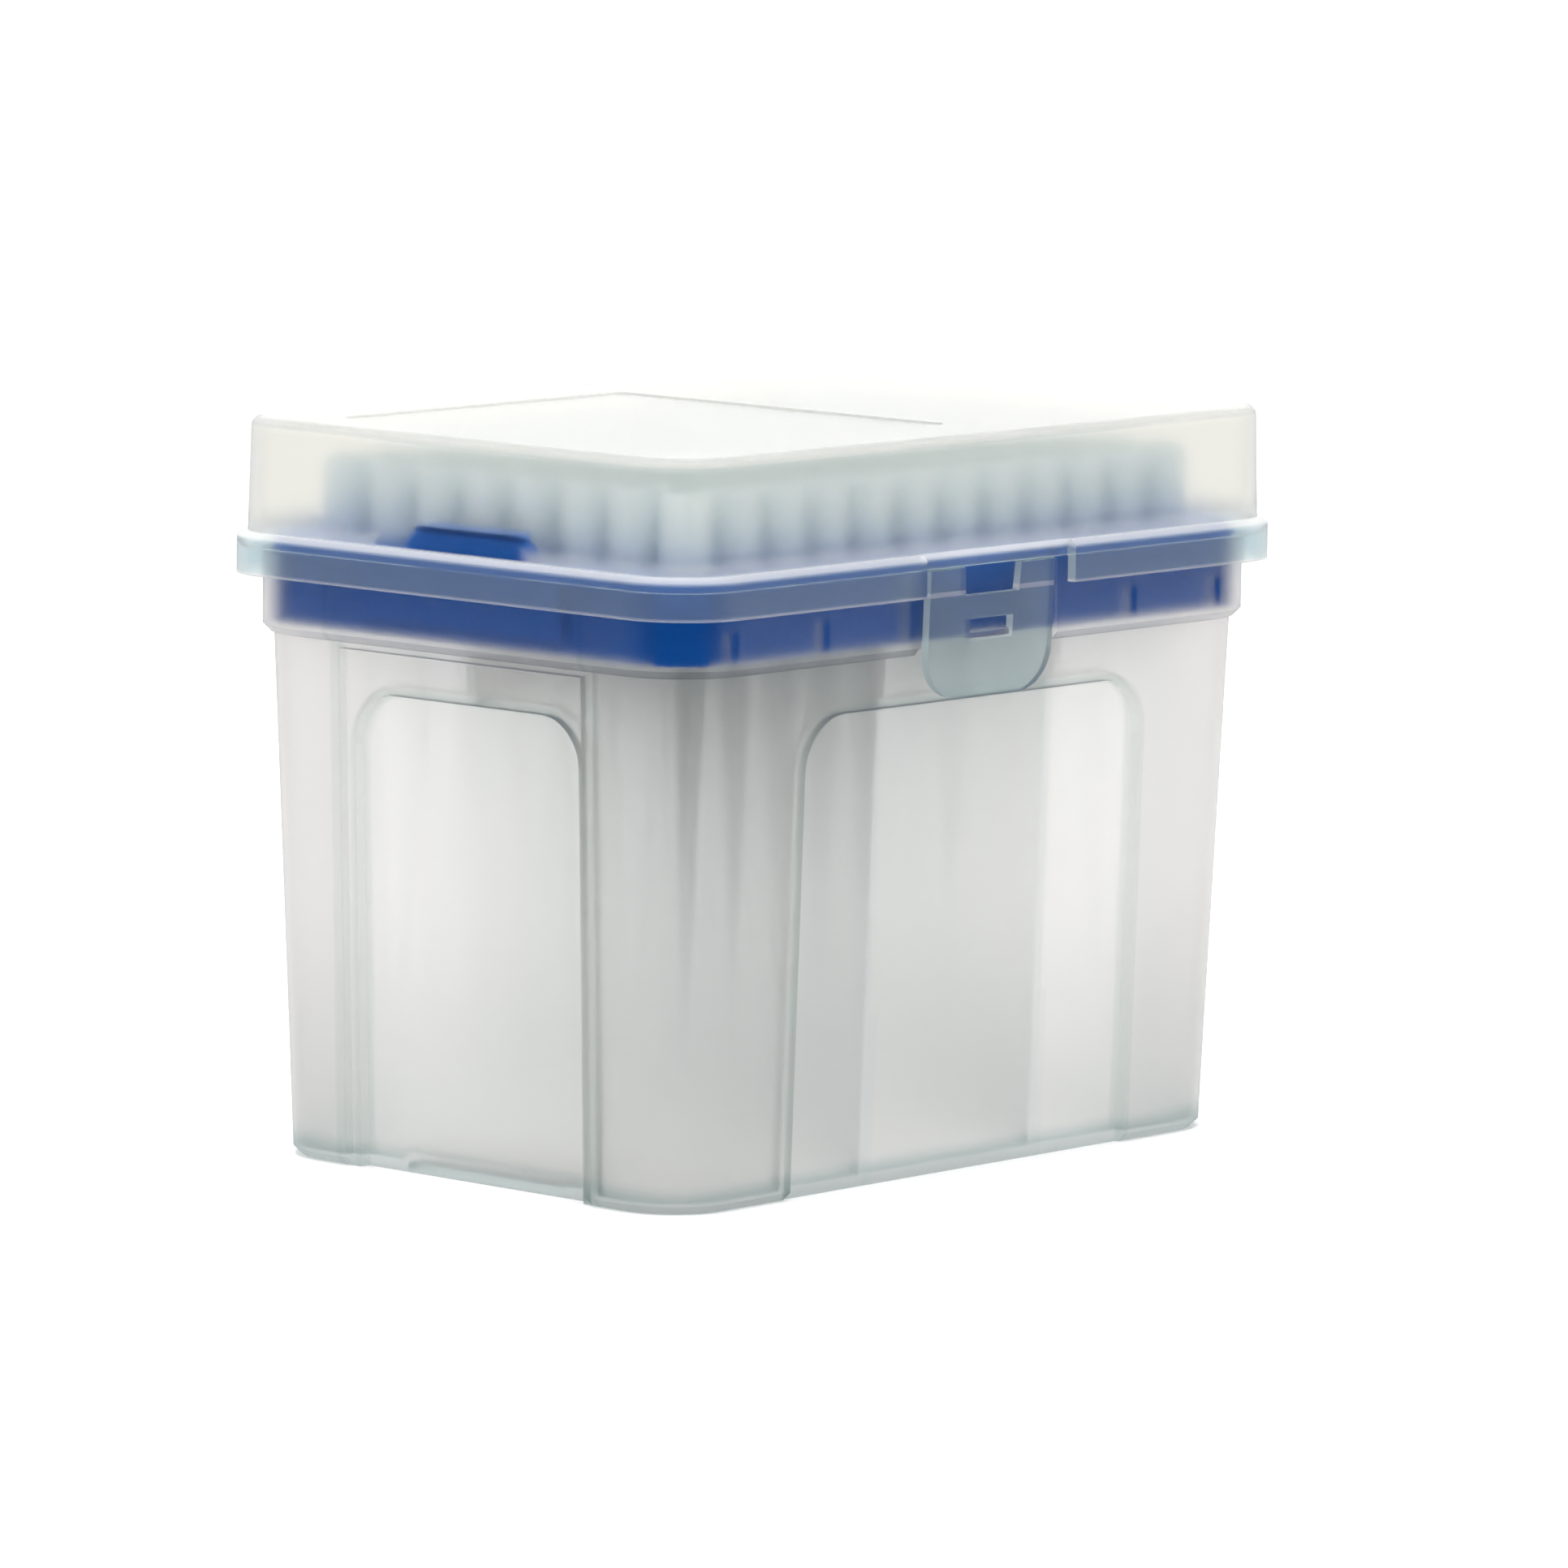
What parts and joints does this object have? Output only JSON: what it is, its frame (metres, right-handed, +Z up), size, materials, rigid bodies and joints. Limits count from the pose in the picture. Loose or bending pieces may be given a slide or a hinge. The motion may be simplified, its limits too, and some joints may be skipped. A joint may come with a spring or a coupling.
{
  "type": "box of pipette tips",
  "caption": "Frosted plastic rack box with a hinged, latched lid, holding rows of pipette tips upright in a blue tray over a deep tub.",
  "frame": {"origin": "centre of the tub's underside, on the surface the box stands on", "axes": "+X along the long sides, +Y from the latch side towards the hinge side, +Z up"},
  "size_m": [0.13, 0.0963, 0.104],
  "materials": {
    "frosted_tub": "natural polypropylene, frosted inside, satin outside",
    "frosted_lid": "natural polypropylene, clearer than the tub, satin",
    "tray_blue": "mass-coloured blue polypropylene, satin",
    "tip_natural": "natural polypropylene, thin and smooth"
  },
  "bodies": {
    "tub": {"base_box": "frosted_tub", "tip_tray": "tray_blue", "tips_column_01": "tip_natural", "tips_column_02": "tip_natural", "tips_column_03": "tip_natural", "tips_column_04": "tip_natural", "tips_column_05": "tip_natural", "tips_column_06": "tip_natural", "tips_column_07": "tip_natural", "tips_column_08": "tip_natural", "tips_column_09": "tip_natural", "tips_column_10": "tip_natural", "tips_column_11": "tip_natural", "tips_column_12": "tip_natural"},
    "lid": {"lid": "frosted_lid"},
    "latch": {"latch": "frosted_lid"}
  },
  "joints": [
    {"name": "lid_hinge", "type": "hinge", "parent": "tub", "child": "lid", "pos_m": [0, 0.048, 0.084], "axis": [-1, 0, 0], "range_deg": [0, 105]},
    {"name": "latch_hinge", "type": "hinge", "parent": "lid", "child": "latch", "pos_m": [0, -0.044, 0.0857], "axis": [-1, 0, 0], "range_deg": [0, 100]}
  ]
}
